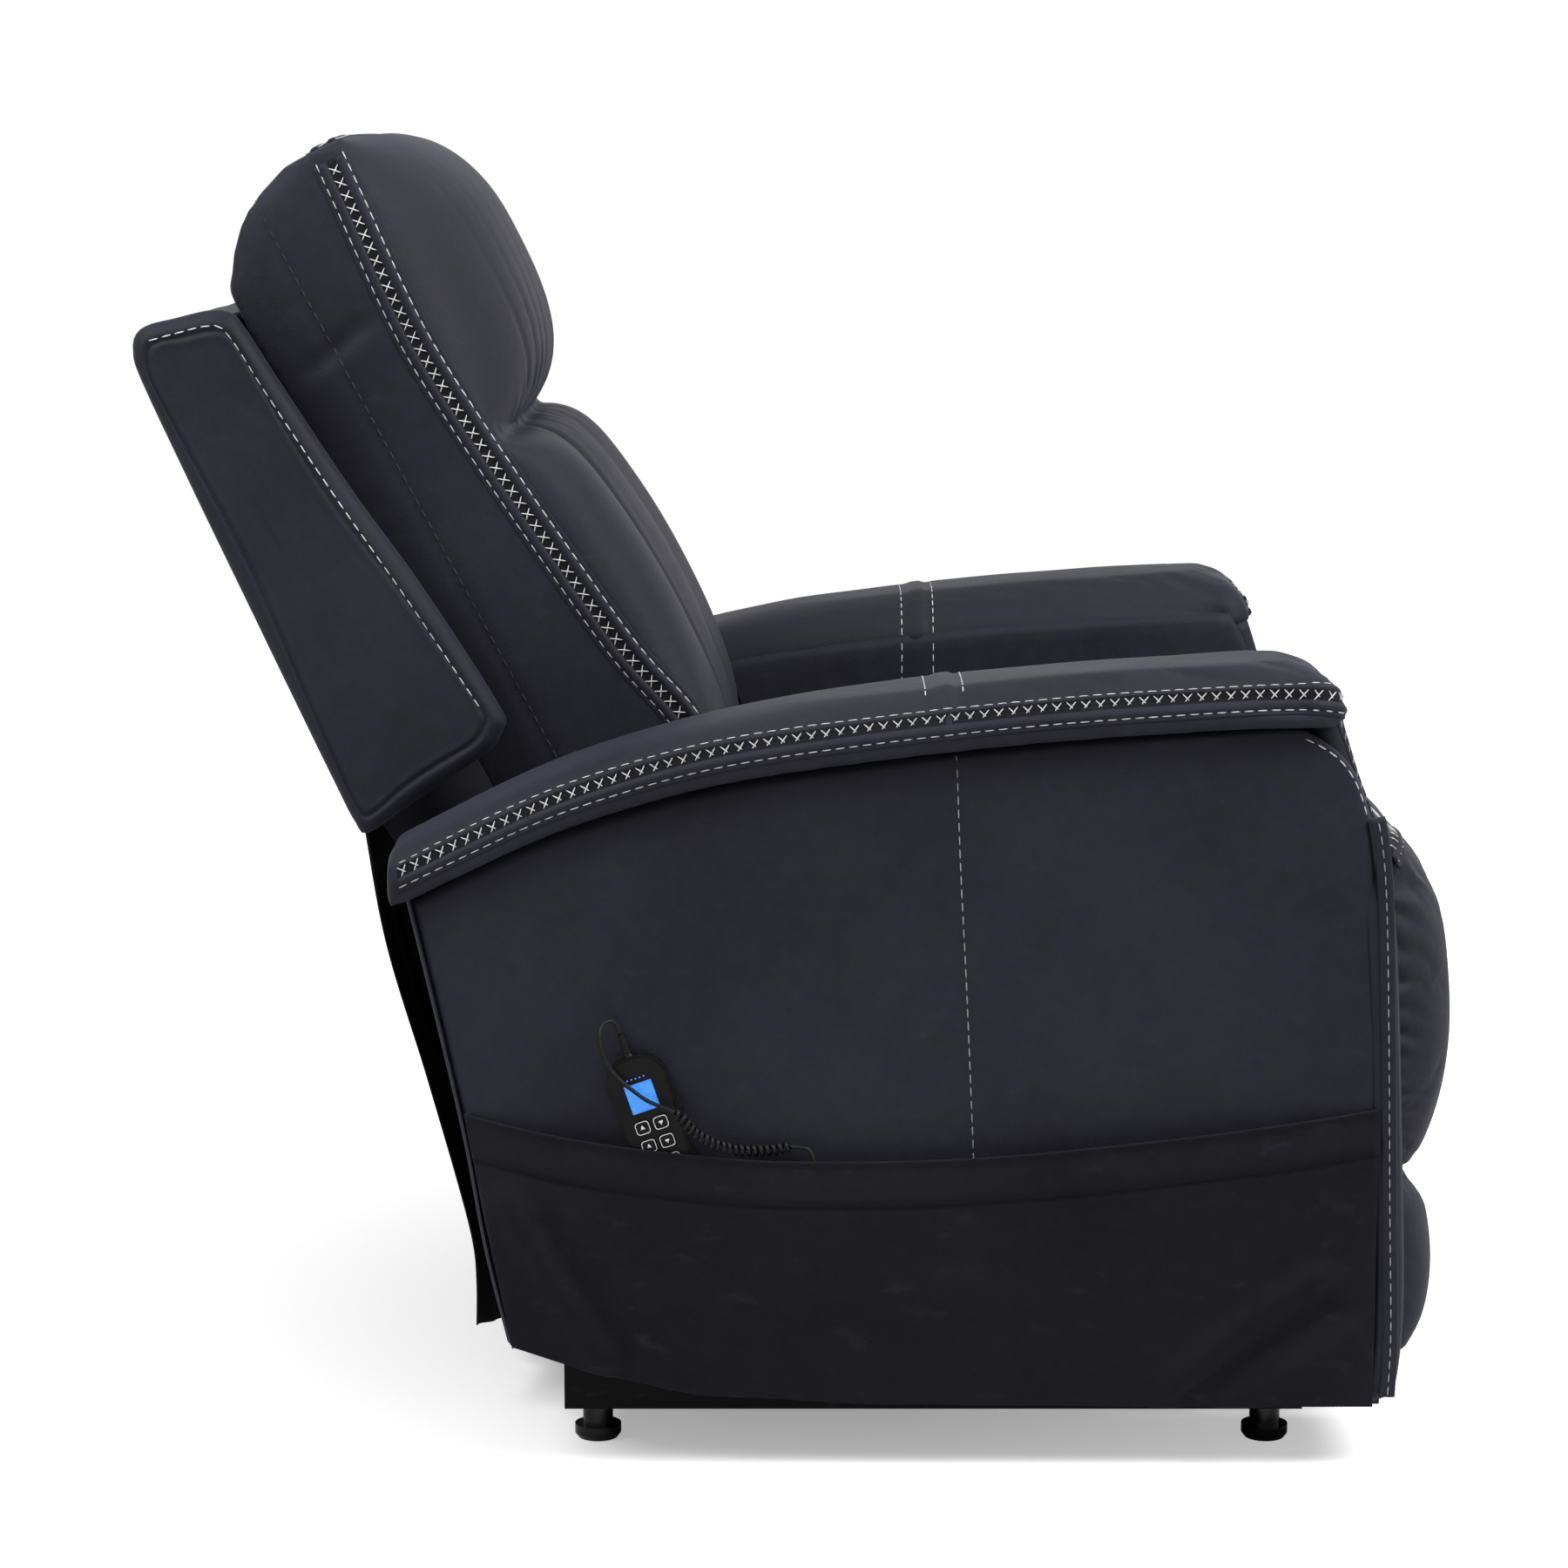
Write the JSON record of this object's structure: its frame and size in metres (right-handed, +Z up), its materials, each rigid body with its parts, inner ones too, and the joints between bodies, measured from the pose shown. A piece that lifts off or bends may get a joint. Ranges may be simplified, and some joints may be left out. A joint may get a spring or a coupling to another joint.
{
  "type": "lift recliner chair",
  "caption": "Powered lift recliner chair in dark leather-look upholstery, with legrest, tilting head pillow, four-bar lift base and wired handset",
  "frame": {"origin": "on the floor, under the middle of the chair", "axes": "+X front of the chair, +Y sitter's left, +Z up"},
  "size_m": [1.1484, 0.9023, 1.1171],
  "materials": {
    "upholstery": "satin soft grain",
    "frame_paint": "satin black powder coat",
    "link_steel": "zinc plated",
    "glide_plastic": "gloss",
    "box_plastic": "fine spark texture",
    "timber": "raw birch plywood",
    "webbing": "woven polypropylene",
    "handset_plastic": "fine satin",
    "display": "lit screen",
    "cord_jacket": "satin"
  },
  "bodies": {
    "base": {"base_side_rails": "frame_paint", "base_cross_tubes": "frame_paint", "glide_feet": "glide_plastic", "power_supply": "box_plastic"},
    "rear_lift": {"rear_lift_links": "link_steel"},
    "front_lift": {"front_lift_links": "link_steel"},
    "chair": {"lift_frame_rails": "frame_paint", "lift_frame_cross_tubes": "frame_paint", "mechanism_side_plates": "frame_paint", "seat_frame": "timber", "seat_webbing": "webbing", "seat_cushion": "upholstery", "arm_outer_panel_right": "upholstery", "arm_outer_panel_left": "upholstery", "arm_frame_right": "timber", "arm_frame_left": "timber", "arm_cap_right": "upholstery", "arm_cap_left": "upholstery", "arm_front_panel_right": "upholstery", "arm_front_panel_left": "upholstery", "side_pocket": "upholstery", "rear_dust_cloth": "webbing", "back_hinge_brackets": "frame_paint", "control_box": "box_plastic", "handset_front": "handset_plastic", "handset_back": "handset_plastic", "handset_display": "display", "handset_strain_relief": "handset_plastic", "handset_lead": "cord_jacket", "handset_coil": "cord_jacket", "cord_gland": "box_plastic"},
    "lift_drive_body": {"lift_actuator_body": "box_plastic"},
    "lift_drive_rod": {"lift_actuator_rod": "link_steel"},
    "recline_drive_body": {"recline_actuator_body": "box_plastic"},
    "recline_drive_rod": {"recline_actuator_rod": "link_steel"},
    "legrest_drive_body": {"legrest_actuator_body": "box_plastic"},
    "legrest_drive_rod": {"legrest_actuator_rod": "link_steel"},
    "headrest_drive_body": {"headrest_actuator_body": "box_plastic"},
    "headrest_drive_rod": {"headrest_actuator_rod": "link_steel"},
    "back": {"back_frame": "frame_paint", "outside_back_panel": "upholstery", "back_wing_right": "upholstery", "back_wing_left": "upholstery", "back_cushion": "upholstery"},
    "headrest": {"headrest_frame": "timber", "headrest_pillow": "upholstery"},
    "leg_drive_link": {"legrest_drive_links": "link_steel"},
    "leg_cross_link": {"legrest_cross_links": "link_steel"},
    "leg_control_link": {"legrest_control_links": "link_steel"},
    "leg_tip_link": {"legrest_tip_links": "link_steel"},
    "legrest_pad": {"legrest_board": "timber", "legrest_brackets": "link_steel", "legrest_upper_pad": "upholstery", "legrest_lower_pad": "upholstery"},
    "key_1": {"button_1": "handset_plastic"},
    "key_2": {"button_2": "handset_plastic"},
    "key_3": {"button_3": "handset_plastic"},
    "key_4": {"button_4": "handset_plastic"},
    "key_5": {"button_5": "handset_plastic"},
    "key_6": {"button_6": "handset_plastic"}
  },
  "joints": [
    {"name": "lift", "type": "hinge", "parent": "base", "child": "rear_lift", "pos_m": [0.19, 0, 0.05], "axis": [0, 1, 0], "range_deg": [0, 50]},
    {"name": "chair_on_rear_links", "type": "hinge", "parent": "rear_lift", "child": "chair", "pos_m": [-0.23, 0, 0.104], "axis": [0, 1, 0], "range_deg": [-26.6, 0]},
    {"name": "front_links", "type": "hinge", "parent": "base", "child": "front_lift", "pos_m": [0.36, 0, 0.05], "axis": [0, 1, 0], "range_deg": [0, 66.95]},
    {"name": "lift_drive_tilt", "type": "hinge", "parent": "base", "child": "lift_drive_body", "pos_m": [0.304, 0, 0.076], "axis": [0, 1, 0], "range_deg": [0, 51.3]},
    {"name": "lift_drive_stroke", "type": "slide", "parent": "lift_drive_body", "child": "lift_drive_rod", "axis": [-0.6796, 0, 0.7336], "range_m": [-0.0002, 0.08187]},
    {"name": "recline", "type": "hinge", "parent": "chair", "child": "back", "pos_m": [-0.215, 0, 0.345], "axis": [0, -1, 0], "range_deg": [-10, 32], "deforming": ["rear_dust_cloth"]},
    {"name": "recline_drive_tilt", "type": "hinge", "parent": "chair", "child": "recline_drive_body", "pos_m": [0.138, 0, 0.156], "axis": [0, 1, 0], "range_deg": [-0.88, 2.83]},
    {"name": "recline_drive_stroke", "type": "slide", "parent": "recline_drive_body", "child": "recline_drive_rod", "axis": [-0.9871, 0, 0.1604], "range_m": [-0.06945, 0.02184]},
    {"name": "legrest", "type": "hinge", "parent": "chair", "child": "leg_drive_link", "pos_m": [0.333, 0, 0.287], "axis": [0, -1, 0], "range_deg": [0, 86]},
    {"name": "legrest_cross_pivot", "type": "hinge", "parent": "leg_drive_link", "child": "leg_cross_link", "pos_m": [0.34179, 0, 0.16131], "axis": [0, -1, 0], "range_deg": [-136, 0]},
    {"name": "legrest_board_pivot", "type": "hinge", "parent": "leg_cross_link", "child": "legrest_pad", "pos_m": [0.40106, 0, 0.39903], "axis": [0, -1, 0], "range_deg": [0, 136]},
    {"name": "legrest_tip_pivot", "type": "hinge", "parent": "leg_drive_link", "child": "leg_tip_link", "pos_m": [0.34967, 0, 0.04858], "axis": [0, -1, 0], "range_deg": [-136, 0]},
    {"name": "legrest_control_pivot", "type": "hinge", "parent": "chair", "child": "leg_control_link", "pos_m": [0.26869, 0, 0.24444], "axis": [0, -1, 0], "range_deg": [0, 73.35]},
    {"name": "legrest_drive_tilt", "type": "hinge", "parent": "chair", "child": "legrest_drive_body", "pos_m": [-0.172, 0, 0.154], "axis": [0, 1, 0], "range_deg": [0, 1.17]},
    {"name": "legrest_drive_stroke", "type": "slide", "parent": "legrest_drive_body", "child": "legrest_drive_rod", "axis": [0.9802, 0, 0.1978], "range_m": [-0.0002, 0.0676]},
    {"name": "headrest_tilt", "type": "hinge", "parent": "back", "child": "headrest", "pos_m": [-0.29325, 0, 0.84363], "axis": [0, 1, 0], "range_deg": [0, 22]},
    {"name": "headrest_drive_tilt", "type": "hinge", "parent": "back", "child": "headrest_drive_body", "pos_m": [-0.38231, 0, 0.6128], "axis": [0, 1, 0], "range_deg": [0, 4.07]},
    {"name": "headrest_drive_stroke", "type": "slide", "parent": "headrest_drive_body", "child": "headrest_drive_rod", "axis": [-0.3128, 0, 0.9498], "range_m": [-0.0002, 0.05811]},
    {"name": "button_1_press", "type": "slide", "parent": "chair", "child": "key_1", "axis": [0, 1, 0], "range_m": [0, 0.001], "stiffness_N_per_m": 400},
    {"name": "button_2_press", "type": "slide", "parent": "chair", "child": "key_2", "axis": [0, 1, 0], "range_m": [0, 0.001], "stiffness_N_per_m": 400},
    {"name": "button_3_press", "type": "slide", "parent": "chair", "child": "key_3", "axis": [0, 1, 0], "range_m": [0, 0.001], "stiffness_N_per_m": 400},
    {"name": "button_4_press", "type": "slide", "parent": "chair", "child": "key_4", "axis": [0, 1, 0], "range_m": [0, 0.001], "stiffness_N_per_m": 400},
    {"name": "button_5_press", "type": "slide", "parent": "chair", "child": "key_5", "axis": [0, 1, 0], "range_m": [0, 0.001], "stiffness_N_per_m": 400},
    {"name": "button_6_press", "type": "slide", "parent": "chair", "child": "key_6", "axis": [0, 1, 0], "range_m": [0, 0.001], "stiffness_N_per_m": 400}
  ],
  "couplings": [
    {"joint": "chair_on_rear_links", "follows": "lift", "ratio": -0.53194},
    {"joint": "front_links", "follows": "lift", "ratio": 1.339},
    {"joint": "lift_drive_tilt", "follows": "lift", "ratio": 1.026},
    {"joint": "lift_drive_stroke", "follows": "lift", "m_per_rad": 0.093583},
    {"joint": "recline_drive_tilt", "follows": "recline", "ratio": 0.088261},
    {"joint": "recline_drive_stroke", "follows": "recline", "m_per_rad": -0.12398},
    {"joint": "legrest_cross_pivot", "follows": "legrest", "ratio": -1.5814},
    {"joint": "legrest_board_pivot", "follows": "legrest", "ratio": 1.5814},
    {"joint": "legrest_tip_pivot", "follows": "legrest", "ratio": -1.5814},
    {"joint": "legrest_control_pivot", "follows": "legrest", "ratio": 0.85286},
    {"joint": "legrest_drive_tilt", "follows": "legrest", "ratio": 0.013525},
    {"joint": "legrest_drive_stroke", "follows": "legrest", "m_per_rad": 0.044901},
    {"joint": "headrest_drive_tilt", "follows": "headrest_tilt", "ratio": 0.18503},
    {"joint": "headrest_drive_stroke", "follows": "headrest_tilt", "m_per_rad": 0.15081}
  ]
}
